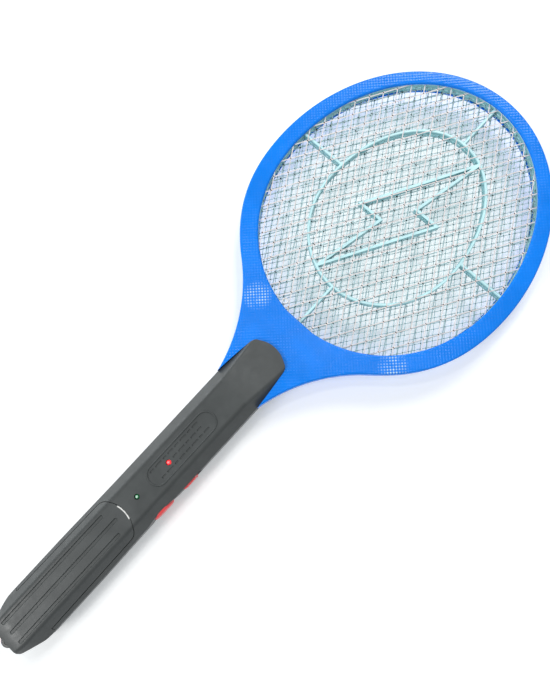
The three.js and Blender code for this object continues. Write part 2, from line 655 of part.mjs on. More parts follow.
function sliderKnob() {
  const z0 = MID_Z - SLIDER_HALF;
  const z1 = MID_Z + SLIDER_HALF;
  const plate = box(SLIDER_X - 10, SLIDER_X + 10.5, -13.4, -12.7, z0 - 0.5, z1 + 0.5);
  const cap = box(SLIDER_X - 5.5, SLIDER_X + 5.5, -17.4, -13, z0, z1);
  const ribs = [-4, -2, 0, 2, 4].map((dx) => box(SLIDER_X + dx - 0.6, SLIDER_X + dx + 0.6,
    -18.1, -17, z0, z1));
  const fork = [-2.5, 1.3].map((dx) => box(SLIDER_X + dx, SLIDER_X + dx + 1.2, -13, -10.4,
    MID_Z + 0.4, MID_Z + 3.6));
  return union([plate, cap, ...ribs, ...fork]);
}
add('slide_switch_knob', sliderKnob(), RED);

// ---- wiring ------------------------------------------------------------------------------------

function wire(name, points, radius, steps, look) {
  const curve = new THREE.CatmullRomCurve3(points.map((p) => new THREE.Vector3(...p)));
  add(name, tube(curve, radius, steps), look);
}
const grilleEdge = OPENING.x - OPENING.butt - GRILLE_MARGIN;
wire('negative_lead', [[3.3, 6.9, 9.5], [6, 8.4, 8], [14, 10.3, 6.2], [60, 10.4, 6], [106, 10.6, 6.6],
  [112.4, 10.4, 9.4], [114.7, 7.4, 11.3]], 0.5, 22, WIRE_BLACK);
wire('front_grille_lead', [[176.6, 5, 13.2], [184, 5.6, 13.4], [196, 5.6, 14], [212, 7, 16],
  [240, 10, 18.6], [grilleEdge - 0.6, 10, 19.0]], 0.5, 16, WIRE_RED);
wire('middle_grille_lead', [[176.6, 1, 13.2], [184, -4, 14.6], [196, -5.6, 15.5], [212, -6, 15.7],
  [240, -4, 15.7], [grilleEdge - 0.6, -4, 15.7]], 0.5, 16, WIRE_WHITE);
wire('back_grille_lead', [[176.6, -3, 12.9], [184, -5.2, 12.8], [196, -5.6, 12.7], [212, -7, 12.6],
  [240, -10, 12.5], [grilleEdge - 0.6, -10, 12.4]], 0.5, 16, WIRE_RED);

export default root;
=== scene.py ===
"""Electric fly swatter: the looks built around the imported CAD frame.

Lengths are millimetres in the swatter's own axes: X from the butt of the handle to the tip of the
head, Y across, Z up out of the front face. Pieces are made in those units and turned into metres in
the frame's place when they are finished.
"""
import math

import bmesh
import bpy
from mathutils import Matrix, Vector


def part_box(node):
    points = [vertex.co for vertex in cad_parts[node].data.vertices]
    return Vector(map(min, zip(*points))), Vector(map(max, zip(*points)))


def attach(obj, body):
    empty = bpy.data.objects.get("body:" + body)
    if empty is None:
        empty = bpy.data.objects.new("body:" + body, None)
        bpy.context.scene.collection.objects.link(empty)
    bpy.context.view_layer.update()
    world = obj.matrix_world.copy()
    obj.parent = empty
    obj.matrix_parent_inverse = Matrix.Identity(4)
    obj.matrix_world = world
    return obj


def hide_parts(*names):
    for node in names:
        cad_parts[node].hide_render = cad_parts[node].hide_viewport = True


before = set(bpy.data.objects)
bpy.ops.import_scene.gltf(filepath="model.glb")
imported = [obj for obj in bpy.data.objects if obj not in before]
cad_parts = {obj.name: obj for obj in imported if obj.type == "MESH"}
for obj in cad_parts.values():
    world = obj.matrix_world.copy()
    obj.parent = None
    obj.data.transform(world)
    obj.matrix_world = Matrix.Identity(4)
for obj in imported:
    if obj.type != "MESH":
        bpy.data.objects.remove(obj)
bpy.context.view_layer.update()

MM = 0.001
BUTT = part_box("battery_cover")[0].x


def box_mm(node):
    """A CAD node's lowest and highest corners in the swatter's own millimetres."""
    return [Vector(((p.x - BUTT) / MM, p.y / MM, p.z / MM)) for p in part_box(node)]


# ---- sizes, from the frame where it has them -----------------------------------------------------

HANDLE_LOW, HANDLE_HIGH = box_mm("handle_back_shell")[0].z, box_mm("battery_cover")[1].z
MID = (HANDLE_LOW + HANDLE_HIGH) / 2
HALF_HIGH = (HANDLE_HIGH - HANDLE_LOW) / 2
TONGUE_X = box_mm("handle_front_shell")[1].x
GRIP_HALF = box_mm("handle_front_shell")[1].y
HEAD_TIP, HEAD_HALF, HEAD_TOP = box_mm("head_front_frame")[1]
HEAD_LOW = box_mm("head_back_frame")[0].z
HEAD_MID = (HEAD_LOW + HEAD_TOP) / 2
LOOP_REACH = -box_mm("handle_back_shell")[0].x
WALL = 2.2
PART_GAP = 0.1
FAR = 600  # reaches past the whole swatter

# Handle: a grip that slims to a waist, then a tongue that lies over the head's neck.
BUTT_TAPER = 12
WAIST_X = 110
WAIST_HALF = 17.3
NECK_X = 204.3
NECK_HALF = 17.1
FACET_HALF = 10.8
FACET_EDGE = 10  # where the painted shade line along the top facet runs
TONGUE_START = 203
TONGUE_SLOPE = 27
TONGUE_DROP = 2.0
TONGUE_FLARE = 2.8
SKIRT_Y = 13.4
SKIRT_LOW = 17.1
BAY_Z = 12
BAY_RADIUS = 7.4

# Controls, lamps and screws of the handle.
BUTTON_X = 118.8
SLIDER_X = 142.5
FLANGE_Y = -12.9
GREEN_X, RED_X = 116.4, 144.3
HANDLE_SCREWS = [(118, 12.6), (172, 12.6), (196, 0), (226, 0)]

# Head.
HEAD_WIDEST_X = 349
# Shoulders of the head where glints are painted as pale dots.
SHOULDER_GLINTS = [(257, 31), (280, -62)]

OPENING = {"x": 351, "tip": 101.1, "butt": 89.1, "half": 82.2, "blunt": 2.12}
OVAL = {"x": 350, "tip": 70.8, "butt": 56.2, "half": 50.4, "blunt": 2}
LIP = 1.8
HEAD_WALL = 2

COVER_ARCH_X = 94
COVER_TOP_X = 105.2
COVER_CAP_X = 23.5
COVER_HALF = 14.8
SEAM = 0.35

# Expanded sheets: long and short pitch of the diamonds.
COARSE_PITCH = (16.5, 10.14)
FINE_PITCH = (6.03, 4.36)


# ---- mesh helpers --------------------------------------------------------------------------------


def solid(name, verts, faces):
    """A closed mesh object in millimetres, with its faces turned outwards."""
    mesh = bpy.data.meshes.new(name)
    mesh.from_pydata([tuple(v) for v in verts], [], faces)
    work = bmesh.new()
    work.from_mesh(mesh)
    bmesh.ops.remove_doubles(work, verts=work.verts, dist=1e-5)
    bmesh.ops.recalc_face_normals(work, faces=work.faces)
    work.to_mesh(mesh)
    work.free()
    obj = bpy.data.objects.new(name, mesh)
    bpy.context.collection.objects.link(obj)
    return obj


def loft(name, rings, closed=False):
    """Skins rings of equal count; a closed loft joins the last ring to the first."""
    count = len(rings[0])
    verts = [p for ring in rings for p in ring]
    faces = []
    for k in range(len(rings) - (0 if closed else 1)):
        a, b = k * count, (k + 1) % len(rings) * count
        for i in range(count):
            j = (i + 1) % count
            faces.append((a + i, a + j, b + j, b + i))
    if not closed:
        faces.append(tuple(range(count)))
        faces.append(tuple(range(len(verts) - count, len(verts))))
    return solid(name, verts, faces)


def prism(outline, z0, z1):
    """A flat XY outline raised from z0 to z1."""
    return loft("prism", [[(x, y, z) for x, y in outline] for z in (z0, z1)])


def prism_y(outline, y0, y1):
    """An XZ outline pushed from y0 to y1."""
    return loft("prism", [[(x, y, z) for x, z in outline] for y in (y0, y1)])


def block(x0, x1, y0, y1, z0, z1):
    return prism([(x0, y0), (x1, y0), (x1, y1), (x0, y1)], z0, z1)


def circle(x, y, radius, count=32):
    turn = 2 * math.pi / count
    return [(x + radius * math.cos(i * turn), y + radius * math.sin(i * turn)) for i in range(count)]


def post(x, y, radius, z0, z1, count=32):
    return prism(circle(x, y, radius, count), z0, z1)


def slot_outline(cx, cy, length, width, steps=10):
    """A stadium with its length along the first axis."""
    r = width / 2
    points = []
    for side in (1, -1):
        for i in range(steps + 1):
            t = (i / steps - 0.5) * math.pi + (math.pi if side < 0 else 0)
            points.append((cx + side * (length / 2 - r) + r * math.cos(t), cy + r * math.sin(t)))
    return points


def turned(profile, axis, at, count=32):
    """A body of revolution from (station, radius) pairs, about the "x", "y" or "z" axis through at."""
    rings = []
    for station, radius in profile:
        ring = []
        for i in range(count):
            t = 2 * math.pi * i / count
            a, b = max(radius, 1e-3) * math.cos(t), max(radius, 1e-3) * math.sin(t)
            ring.append(Vector(at) + Vector({"x": (station, a, b), "y": (a, station, b),
                                             "z": (a, b, station)}[axis]))
        rings.append(ring)
    return loft("turned", rings)


def swept(points, section, closed=False):
    """Carries a section of (side, up) pairs along a path, upright."""
    rings = []
    count = len(points)
    path = [Vector(p) for p in points]
    for i, p in enumerate(path):
        before = path[(i - 1) % count] if closed or i else p
        after = path[(i + 1) % count] if closed or i < count - 1 else p
        along = (after - before).normalized()
        side = along.cross(Vector((0, 0, 1))).normalized()
        up = side.cross(along)
        stretch = 1.0
        if (closed or 0 < i < count - 1) and (p - before).length and (after - p).length:
            half_turn = (p - before).angle(after - p) / 2
            stretch = 1 / max(math.cos(half_turn), 0.3)
        rings.append([p + side * (a * stretch) + up * b for a, b in section])
    return loft("swept", rings, closed)


def evaluate(obj):
    """Bakes an object's modifiers into its mesh."""
    graph = bpy.context.evaluated_depsgraph_get()
    mesh = bpy.data.meshes.new_from_object(obj.evaluated_get(graph))
    obj.modifiers.clear()
    old, obj.data = obj.data, mesh
    bpy.data.meshes.remove(old)
    return obj


def combine(obj, operation, *tools):
    """Cuts with, joins or keeps the overlap with other solids, which are used up."""
    for tool in tools:
        step = obj.modifiers.new(operation, "BOOLEAN")
        step.operation, step.object, step.solver = operation, tool, "EXACT"
    evaluate(obj)
    for tool in tools:
        bpy.data.objects.remove(tool)
    return obj


def cut(obj, *tools):
    return combine(obj, "DIFFERENCE", *tools)


def join(obj, *tools):
    return combine(obj, "UNION", *tools)


def copy(obj):
    twin = obj.copy()
    twin.data = obj.data.copy()
    bpy.context.collection.objects.link(twin)
    return twin


def soften(obj, width, segments=2, angle=32):
    """Rounds every edge sharper than the angle."""
    step = obj.modifiers.new("soften", "BEVEL")
    step.width, step.segments = width, segments
    step.limit_method, step.angle_limit = "ANGLE", math.radians(angle)
    step.miter_outer = "MITER_ARC"
    return evaluate(obj)


def finish(obj, name, body, slot, material, *nodes):
    """Turns a millimetre solid into a named piece of the object that stands for CAD nodes."""
    obj.name = obj.data.name = name
    obj.data.transform(Matrix.Translation((BUTT, 0, 0)) @ Matrix.Scale(MM, 4))
    obj.data.materials.clear()
    obj.data.materials.append(material)
    obj.data.shade_smooth()
    obj.data.set_sharp_from_angle(angle=math.radians(38))
    step = obj.modifiers.new("flat faces stay flat", "WEIGHTED_NORMAL")
    step.keep_sharp = True
    evaluate(obj)
    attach(obj, body)
    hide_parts(*nodes)
    return obj


# ---- materials -----------------------------------------------------------------------------------


class Look:
    """A Principled material with helpers for procedural inputs on object coordinates."""

    def __init__(self, name, color, roughness, metallic=0.0, **inputs):
        self.material = bpy.data.materials.new(name)
        self.material.use_nodes = True
        self.nodes = self.material.node_tree.nodes
        self.links = self.material.node_tree.links
        self.shader = self.nodes["Principled BSDF"]
        self.place = self.nodes.new("ShaderNodeTexCoord").outputs["Object"]
        self.set(**{"Base Color": (*color, 1), "Roughness": roughness, "Metallic": metallic})
        self.set(**{key.replace("_", " "): value for key, value in inputs.items()})

    def set(self, **inputs):
        for key, value in inputs.items():
            self.shader.inputs[key].default_value = value

    def noise(self, grain_mm, detail=2.0, stretch=(1, 1, 1)):
        """Noise whose lumps are about grain_mm across, stretched along an axis below 1."""
        mapping = self.nodes.new("ShaderNodeMapping")
        mapping.inputs["Scale"].default_value = stretch
        self.links.new(self.place, mapping.inputs["Vector"])
        node = self.nodes.new("ShaderNodeTexNoise")
        node.inputs["Scale"].default_value = 1 / (grain_mm * MM)
        node.inputs["Detail"].default_value = detail
        self.links.new(mapping.outputs["Vector"], node.inputs["Vector"])
        return node.outputs["Fac"]

    def ramp(self, source, low, high, start=0.35, end=0.65):
        """Maps a 0..1 source to a range of numbers."""
        node = self.nodes.new("ShaderNodeMapRange")
        for key, value in (("From Min", start), ("From Max", end), ("To Min", low), ("To Max", high)):
            node.inputs[key].default_value = value
        self.links.new(source, node.inputs["Value"])
        return node.outputs["Result"]

    def math(self, operation, a, b):
        node = self.nodes.new("ShaderNodeMath")
        node.operation = operation
        for socket, value in zip(node.inputs, (a, b)):
            if isinstance(value, (int, float)):
                socket.default_value = value
            else:
                self.links.new(value, socket)
        return node.outputs["Value"]

    def color(self, factor, first, second):
        """Mixes two colours by a 0..1 source; either may be a socket."""
        node = self.nodes.new("ShaderNodeMix")
        node.data_type = "RGBA"
        self.links.new(factor, node.inputs["Factor"])
        for socket, value in ((node.inputs[6], first), (node.inputs[7], second)):
            if isinstance(value, tuple):
                socket.default_value = (*value, 1)
            else:
                self.links.new(value, socket)
        return node.outputs[2]

    def split(self, source):
        """The X, Y and Z of a vector socket."""
        node = self.nodes.new("ShaderNodeSeparateXYZ")
        self.links.new(source, node.inputs["Vector"])
        return node.outputs

    def painted(self):
        """The socket that colours the surface so far."""
        return self.shader.inputs["Base Color"].links[0].from_socket

    def paint(self, socket):
        self.links.new(socket, self.shader.inputs["Base Color"])

    def gloss(self, socket):
        self.links.new(socket, self.shader.inputs["Roughness"])

    def bump(self, height, depth_mm, strength=1.0):
        node = self.nodes.new("ShaderNodeBump")
        node.inputs["Distance"].default_value = depth_mm * MM
        node.inputs["Strength"].default_value = strength
        self.links.new(height, node.inputs["Height"])
        self.links.new(node.outputs["Normal"], self.shader.inputs["Normal"])


def moulded(name, color, roughness, vary=0.12, grain=0.45, depth=0.02, **inputs):
    """Moulded plastic: slight colour drift, uneven gloss and a fine spark-eroded grain."""
    look = Look(name, color, roughness, **inputs)
    darker = tuple(c * (1 - vary) for c in color)
    lighter = tuple(min(1.0, c * (1 + vary)) for c in color)
    look.paint(look.color(look.ramp(look.noise(14, 3), 0, 1), darker, lighter))
    look.gloss(look.ramp(look.noise(5, 4), roughness - 0.06, roughness + 0.06))
    look.bump(look.noise(grain, 3), depth)
    return look


def metal(name, color, roughness, grain=0.6, stretch=(1, 1, 1), shine=0.95):
    """Bare metal: clouded tone, streaky gloss and fine scratches."""
    look = Look(name, color, roughness, metallic=shine)
    dull = tuple(c * 0.82 for c in color)
    look.paint(look.color(look.ramp(look.noise(4, 3), 0, 1), dull, color))
    look.gloss(look.ramp(look.noise(grain, 3, stretch), roughness - 0.1, roughness + 0.12))
    look.bump(look.noise(grain, 4, stretch), 0.012)
    return look


HANDLE_GREY = (0.060, 0.066, 0.066)
HEAD_BLUE = (0.004, 0.215, 0.86)
RIB_CYAN = (0.56, 0.85, 0.89)
# The spacers' walls are painted this darker colour as shade.
RIB_WALL_SHADE = (0.22, 0.50, 0.54)
CONTROL_RED = (0.85, 0.075, 0.08)


def dotted_plastic(name, color, roughness, pitch):
    """Moulded plastic with a fine grid of dots, with painted glints: pale dots on the head's two
    shoulders.
    """
    look = moulded(name, color, roughness, vary=0.05, grain=0.6, depth=0.03, Specular_IOR_Level=0.22)
    axes = look.split(look.place)
    turn = 2 * math.pi / (pitch * MM)
    waves = [look.math("SINE", look.math("MULTIPLY", axes[axis], turn), 0)
             for axis in ("X", "Y")]
    dots = look.math("MULTIPLY", *waves)
    look.bump(dots, 0.05)
    # Painted glints: the dots turn pale in the two shoulder patches.
    glint_area = None
    for x, y in SHOULDER_GLINTS:
        sides = [look.math("POWER", look.math("ADD", axes[axis], -middle), 2)
                 for axis, middle in (("X", BUTT + x * MM), ("Y", y * MM))]
        near = look.ramp(look.math("DIVIDE", look.math("ADD", *sides), MM * MM), 1, 0, 15, 100)
        glint_area = look.math("MAXIMUM", glint_area, near) if glint_area else near
    patchy = look.math("MULTIPLY", glint_area, look.ramp(look.noise(5, 2), 0.25, 1, 0.35, 0.6))
    pale = look.math("MULTIPLY", patchy, look.ramp(dots, 0, 1, 0.1, 0.5))
    base = look.painted()
    look.paint(look.color(pale, base, (0.52, 0.73, 0.86)))
    return look


def rib_plastic(name):
    """Cyan plastic with painted shade: its walls are painted a darker teal than its level faces."""
    look = moulded(name, RIB_CYAN, 0.35, vary=0.05)
    base = look.painted()
    axes = look.split(look.nodes.new("ShaderNodeTexCoord").outputs["Normal"])
    # Painted shade: walls take the darker teal, level faces keep the paler cyan.
    level = look.ramp(look.math("ABSOLUTE", axes["Z"], 0), 0, 1, 0.3, 0.9)
    look.paint(look.color(level, RIB_WALL_SHADE, base))
    return look


def dipped(name, color, roughness=0.3):
    return moulded(name, color, roughness, vary=0.15, grain=0.8, depth=0.04)


def lens(name, color, core, x, glow):
    """Tinted lens with a painted highlight that makes it paler in its core, and with a little light of
    its own.
    """
    look = moulded(name, color, 0.18, vary=0.05, depth=0.005, Transmission_Weight=0.2,
                   Emission_Strength=glow, Emission_Color=(*color, 1))
    axes = look.split(look.place)
    # Painted highlight: the core colour fills the middle of the lens.
    along = look.math("ADD", axes["X"], -BUTT - x * MM)
    away = look.math("ADD", look.math("POWER", along, 2), look.math("POWER", axes["Y"], 2))
    middle = look.ramp(look.math("DIVIDE", away, MM * MM), 1, 0, 0.15, 0.8)
    look.paint(look.color(middle, color, core))
    return look


def laminate():
    """Green solder mask over brighter copper tracks."""
    look = Look("board_laminate", (0.02, 0.16, 0.06), 0.35)
    cells = look.nodes.new("ShaderNodeTexVoronoi")
    cells.feature, cells.distance = "F1", "MANHATTAN"
    cells.inputs["Scale"].default_value = 1 / (4 * MM)
    look.links.new(look.place, cells.inputs["Vector"])
    tracks = look.ramp(cells.outputs["Distance"], 1, 0, 0.30, 0.34)
    look.paint(look.color(tracks, (0.015, 0.11, 0.045), (0.05, 0.26, 0.10)))
    look.gloss(look.ramp(look.noise(3, 2), 0.3, 0.45))
    look.bump(tracks, 0.03)
    return look


def sleeve():
    """Generic cell sleeve: dark body, one plain coppery band towards the positive end."""
    look = Look("cell_sleeve", (0.03, 0.03, 0.035), 0.3, metallic=0.3)
    axes = look.split(look.place)
    length = 50.7 * MM
    along = look.math("FRACT", look.math("DIVIDE", look.math("ADD", axes["X"],
                                                             -BUTT - 8 * MM), length), 0)
    band = look.ramp(along, 0, 1, 0.70, 0.71)
    body = look.color(look.ramp(look.noise(6, 2), 0, 1), (0.02, 0.02, 0.025), (0.035, 0.035, 0.04))
    look.paint(look.color(band, body, (0.55, 0.28, 0.12)))
    look.gloss(look.ramp(look.noise(2, 3), 0.25, 0.4))
    return look


def handle_plastic(name):
    """Satin grey plastic with painted shade: a little darker along the edges of the top facet."""
    look = moulded(name, HANDLE_GREY, 0.42, vary=0.1)
    axes = look.split(look.place)
    base = look.painted()
    # Painted shade: a darker line beside each long edge of the top facet, stopping short of the neck.
    away = look.math("ADD", look.math("ABSOLUTE", axes["Y"], 0), -FACET_EDGE * MM)
    near = look.ramp(look.math("ABSOLUTE", away, 0), 1, 0, 0.5 * MM, 1.6 * MM)
    straight = look.math("LESS_THAN", axes["X"], BUTT + (NECK_X - 2) * MM)
    band = look.math("MULTIPLY", near, straight)
    darker = tuple(c * 0.82 for c in HANDLE_GREY)
    look.paint(look.color(band, base, darker))
    return look


def door_plastic(name):
    """Handle plastic with a pale edge at the top of the battery door's arch, partly scuffing and partly a
    painted highlight.
    """
    look = handle_plastic(name)
    axes = look.split(look.place)
    base = look.painted()

    def scaled(axis, middle, reach):
        shift = look.math("ADD", axes[axis], -middle)
        return look.math("POWER", look.math("DIVIDE", shift, reach * MM), 2)

    reach = COVER_TOP_X - COVER_ARCH_X
    arch = look.math("ADD", scaled("X", BUTT + COVER_ARCH_X * MM, reach), scaled("Y", 0, COVER_HALF))
    edge = look.ramp(arch, 0, 1, 0.86, 0.90)
    top = look.ramp(scaled("Y", -0.0004, 5.6), 1, 0, 0.8, 1.0)
    patchy = look.ramp(look.noise(1.4, 3), 0.75, 1, 0.35, 0.5)
    tip = look.math("GREATER_THAN", axes["X"], BUTT + COVER_ARCH_X * MM)
    for mask in (top, patchy, tip):
        edge = look.math("MULTIPLY", edge, mask)
    # The pale edge is partly scuffed plastic and partly a painted highlight.
    look.paint(look.color(edge, base, (0.85, 0.85, 0.82)))
    return look


handle_look = handle_plastic("handle_plastic").material
door_look = door_plastic("battery_door_plastic").material
head_look = dotted_plastic("head_plastic", HEAD_BLUE, 0.22, 2.6).material
rib_look = rib_plastic("spacer_plastic").material
red_look = moulded("control_plastic", CONTROL_RED, 0.36, vary=0.08).material
back_look = metal("back_grille_wire", (0.62, 0.78, 0.80), 0.45, shine=0.05).material
coarse_look = metal("grille_wire", (1.0, 0.93, 0.92), 0.4, shine=0.05).material
fine_look = metal("fine_grille_wire", (0.50, 0.70, 0.73), 0.5, shine=0.05).material
steel_look = metal("screw_steel", (0.62, 0.62, 0.64), 0.3).material
contact_look = metal("contact_steel", (0.72, 0.72, 0.70), 0.25).material
tin_look = metal("eyelet_tin", (0.94, 0.92, 0.90), 0.35, shine=0.3).material
# Each lens's second colour is its painted highlight.
green_lens_look = lens("green_lens", (0.01, 0.22, 0.07), (0.75, 1, 0.85), GREEN_X, 0.05).material
red_lens_look = lens("red_lens", (0.90, 0.05, 0.06), (1, 0.35, 0.36), RED_X, 0.7).material
sleeve_look = sleeve().material


# ---- outlines ------------------------------------------------------------------------------------


def egg(shape, count=160):
    """Two half ovals of different reach; blunt over 2 squares the handle end."""
    points = []
    for i in range(count):
        t = 2 * math.pi * i / count
        c, s = math.cos(t), math.sin(t)
        reach, power = (-shape["butt"], 2 / shape["blunt"]) if c < 0 else (shape["tip"], 1)
        points.append((shape["x"] + reach * abs(c) ** power, shape["half"] * s))
    return points


def offset(points, distance):
    """Moves a counter-clockwise outline outwards, with mitred corners."""
    out = []
    count = len(points)
    for i, p in enumerate(points):
        p = Vector(p)
        first = (p - Vector(points[i - 1])).normalized()
        second = (Vector(points[(i + 1) % count]) - p).normalized()
        n1, n2 = Vector((first.y, -first.x)), Vector((second.y, -second.x))
        out.append(tuple(p + (n1 + n2) * (distance / (1 + n1.dot(n2)))))
    return out


def bezier(points, steps):
    """Points along a quadratic or cubic Bezier curve, its first point left out."""
    out = []
    for k in range(1, steps + 1):
        t = k / steps
        level = [Vector(p) for p in points]
        while len(level) > 1:
            level = [a.lerp(b, t) for a, b in zip(level, level[1:])]
        out.append(tuple(level[0]))
    return out


def mirrored(half):
    """Completes a -Y half outline, drawn towards +X, with its mirror image."""
    return half + [(x, -y) for x, y in reversed(half) if y < -1e-6]


def handle_outline():
    """Plan of the handle: chamfered butt, grip, slim neck end and the arc of the tongue."""
    half = [(0, -10)]
    half += bezier([(0, -10), (0.3, -12.5), (3.4, -13.3)], 6)
    half += bezier([(13.5, -GRIP_HALF + 1), (16, -GRIP_HALF), (20, -GRIP_HALF)], 6)
    half += [(62, -GRIP_HALF)]
    half += bezier([(62, -GRIP_HALF), (86, -GRIP_HALF + 0.3), (WAIST_X, -WAIST_HALF)], 5)
    half += [(NECK_X, -NECK_HALF)]
    half += bezier([(NECK_X, -NECK_HALF), (216, -16.3), (231, -14.3)], 5)
    half += bezier([(231, -14.3), (235.6, -13.9), (236.8, -10.6)], 6)
    half += bezier([(236.8, -10.6), (TONGUE_X, -5.5), (TONGUE_X, 0)], 10)
    return mirrored(half)


def cover_outline(grow):
    """Plan of the battery cover past its full-width cap: straight seams, then a half oval."""
    half = [(-FAR, -FAR), (COVER_CAP_X, -FAR), (COVER_CAP_X, -15.6)]
    steps = 24
    for i in range(steps + 1):
        t = math.pi / 2 * i / steps
        y = -COVER_HALF * math.cos(t) if i < steps else 0
        half.append((COVER_ARCH_X + (COVER_TOP_X - COVER_ARCH_X) * math.sin(t), y))
    return offset(mirrored(half), grow)


def head_outline():
    """Plan of the head: the neck flares into the ring, which closes in a half ellipse."""
    half = [(NECK_X + 0.3, -NECK_HALF)]
    half += bezier([half[-1], (230, -22.5), (252, -36.1), (268, -55.5)], 20)
    half += bezier([half[-1], (286, -77.3), (309, -HEAD_HALF), (HEAD_WIDEST_X, -HEAD_HALF)],
                   24)
    steps = 48
    for i in range(1, steps + 1):
        t = math.pi / 2 * i / steps
        y = -HEAD_HALF * math.cos(t) if i < steps else 0
        half.append((HEAD_WIDEST_X + (HEAD_TIP - HEAD_WIDEST_X) * math.sin(t), y))
    return mirrored(half)


# ---- handle --------------------------------------------------------------------------------------


def handle_section(x, inset=0.0):
    """Octagonal section with rounded corners: flat top facet, sloped sides, short side walls."""
    butt = 1 - min(x / BUTT_TAPER, 1)
    tongue = min(max((x - TONGUE_START) / TONGUE_SLOPE, 0), 1)
    mitre = inset * 0.41
    width = GRIP_HALF + 0.3 - inset
    facet = FACET_HALF - 1.6 * butt ** 2 + TONGUE_FLARE * tongue - mitre
    high = HALF_HIGH - 2.2 * butt ** 2 - TONGUE_DROP * tongue - inset
    shoulder = 4.4 - 1.2 * butt - mitre
    corners = [(width, -shoulder), (width, shoulder), (facet, high), (-facet, high),
               (-width, shoulder), (-width, -shoulder), (-facet, -high), (facet, -high)]
    ring = []
    for i, corner in enumerate(corners):
        here = Vector(corner)
        before, after = Vector(corners[i - 1]), Vector(corners[(i + 1) % len(corners)])
        reach = 1.6 if abs(corner[1]) > shoulder else 0.5
        start = here + (before - here).normalized() * reach
        end = here + (after - here).normalized() * reach
        ring.append((x, start.x, MID + start.y))
        ring += [(x, y, MID + z) for y, z in bezier([start, here, end], 5)]
    return ring


def handle_body(inset=0.0):
    """The handle before it is split; with an inset, the room inside its walls."""
    end = (NECK_X if inset else TONGUE_X) + 1
    stations = [inset + BUTT_TAPER * (i / 8) for i in range(9)]
    stations += [30, 60, 90, 124, 160, 190]
    stations += [TONGUE_START + (end - TONGUE_START) * i / 10 for i in range(11)]
    body = loft("handle", [handle_section(x, inset) for x in stations])
    plan = prism(offset(handle_outline(), -inset), -FAR, FAR)
    combine(body, "INTERSECT", plan)
    return body


def half_space(upper):
    """Everything on one side of the seam between the two shells."""
    if upper:
        return block(-FAR, FAR, -FAR, FAR, MID + PART_GAP, FAR)
    return block(-FAR, FAR, -FAR, FAR, -FAR, MID - PART_GAP)


def neck_slot():
    """Room for the head's neck between the shells."""
    return block(NECK_X, FAR, -FAR, FAR, HEAD_LOW - 0.2, HEAD_TOP + 0.2)


def tongue_skirt(gap):
    """The sides of the tongue, which reach down into grooves in the neck, and their room."""
    skirt = prism(offset(handle_outline(), gap), SKIRT_LOW - gap, FAR)
    inner_y = SKIRT_Y - gap
    return cut(skirt, block(-FAR, FAR, -inner_y, inner_y, -FAR, 2 * FAR))


def side_openings():
    """Finger scallop round the push button, its opening, and the slider's slot."""
    scallop = 72
    return [
        post(BUTTON_X, -WAIST_HALF + 1 - scallop, scallop, -10, 60, 240),
        prism_y(slot_outline(BUTTON_X, MID, 17, 13.6, 16), -60, -12),
        block(SLIDER_X - 5.9, SLIDER_X + 9.9, -60, -12, MID - 5.3, MID + 5.3),
    ]


def panel_bead():
    """Raised bead round the blank label field."""
    outline = slot_outline(156, -0.2, 56, 13.4, 16)
    section = [(-0.6, -0.4), (0.6, -0.4), (0.55, 0.1), (0.2, 0.5), (-0.2, 0.5), (-0.55, 0.1)]
    return swept([(x, y, HANDLE_HIGH) for x, y in outline], section, closed=True)


def panel_marks():
    """Cutters for rows of plain sunk dashes where lettering would be."""
    dashes = []
    for row, (x0, x1) in zip((3.9, 0.1, -3.7), ((132, 178), (148.5, 178), (135, 178))):
        x, k = x0, 0
        while x < x1 - 3:
            width = (3.4, 5.2, 2.6, 4.4)[k % 4]
            dashes.append(block(x, min(x + width, x1), row - 0.55, row + 0.55,
                                HANDLE_HIGH - 0.5, HANDLE_HIGH + 1))
            x, k = x + width + 1.5, k + 1
    return dashes


outer = soften(handle_body(), 1.0, 3)
inner = handle_body(WALL)


def front_shell():
    shell = combine(copy(outer), "INTERSECT", half_space(True))
    slot = neck_slot()
    cut(slot, tongue_skirt(0))
    cut(shell, copy(inner), slot, prism(cover_outline(SEAM), -FAR, FAR))
    wall = combine(copy(outer), "INTERSECT", block(110.1, 111.8, -9.4, 9.4, MID + PART_GAP, 24))
    join(shell, wall, panel_bead())
    leds = [post(x, 0, 1.75, 10, 60) for x in (GREEN_X, RED_X)]
    cut(shell, *leds, *side_openings(), *panel_marks())
    soften(shell, 0.3)
    return finish(shell, "front_shell", "handle", "handle_plastic", handle_look,
                  "handle_front_shell")


def cover():
    shell = combine(copy(outer), "INTERSECT", half_space(True), prism(cover_outline(0), -FAR, FAR))
    cut(shell, copy(inner))
    join(shell, block(97, 108.5, -5, 5, 20.6, 22.4))
    grooves = []
    for x1, y in ((99, 0), (94, 7.6), (94, -7.6)):
        outline = slot_outline((7 + x1) / 2, y, x1 - 7, 2.3, 8)
        rings = [[(x, v, z) for x, v in offset(outline, grow)]
                 for grow, z in ((-0.45, HANDLE_HIGH - 0.75), (0, HANDLE_HIGH - 0.3), (0, 40))]
        grooves.append(loft("groove", rings))
    cut(shell, *grooves)
    soften(shell, 0.25)
    return finish(shell, "battery_door", "battery_cover", "handle_plastic", door_look,
                  "battery_cover")


